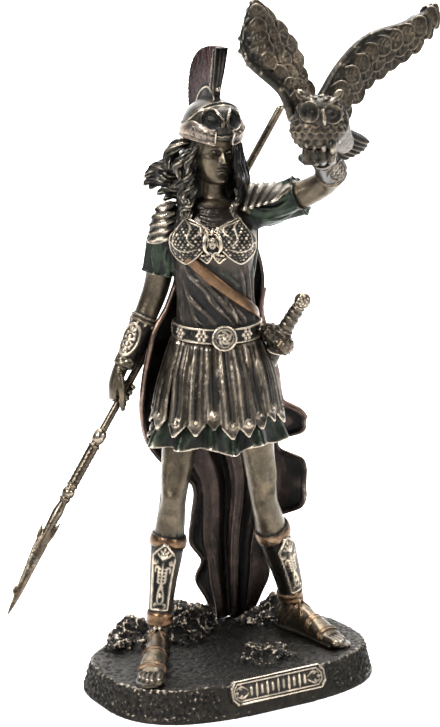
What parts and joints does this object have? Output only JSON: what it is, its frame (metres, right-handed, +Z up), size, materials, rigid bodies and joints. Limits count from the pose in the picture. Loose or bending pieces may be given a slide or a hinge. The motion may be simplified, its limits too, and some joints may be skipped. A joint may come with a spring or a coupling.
{
  "type": "bronze goddess statue",
  "caption": "Cold-cast bronze statue of an armoured goddess with a raised owl, a lowered spear, a cloak and an oval rocky plinth.",
  "frame": {"origin": "middle of the plinth's flat underside", "axes": "+Z up, -Y out of the plinth's long front with the nameplate, +X to the right of someone who reads the plate"},
  "size_m": [0.1789, 0.1278, 0.33],
  "materials": {
    "figure_bronze": "dark bronze patina with rubbed golden highlights; skin golden brown, cloak red-brown, sleeves greenish",
    "owl_bronze": "dark brown bronze patina with pale rubbed feather edges",
    "spear_bronze": "smoother brown-gold bronze, worn along the shaft and the blade",
    "plinth_bronze": "very dark rough bronze with pale rubbed specks",
    "plate_bronze": "lighter grey bronze with a rubbed raised rim"
  },
  "bodies": {
    "root": {"figure": "figure_bronze", "owl": "owl_bronze", "spear": "spear_bronze", "plinth": "plinth_bronze", "nameplate": "plate_bronze"}
  },
  "joints": []
}
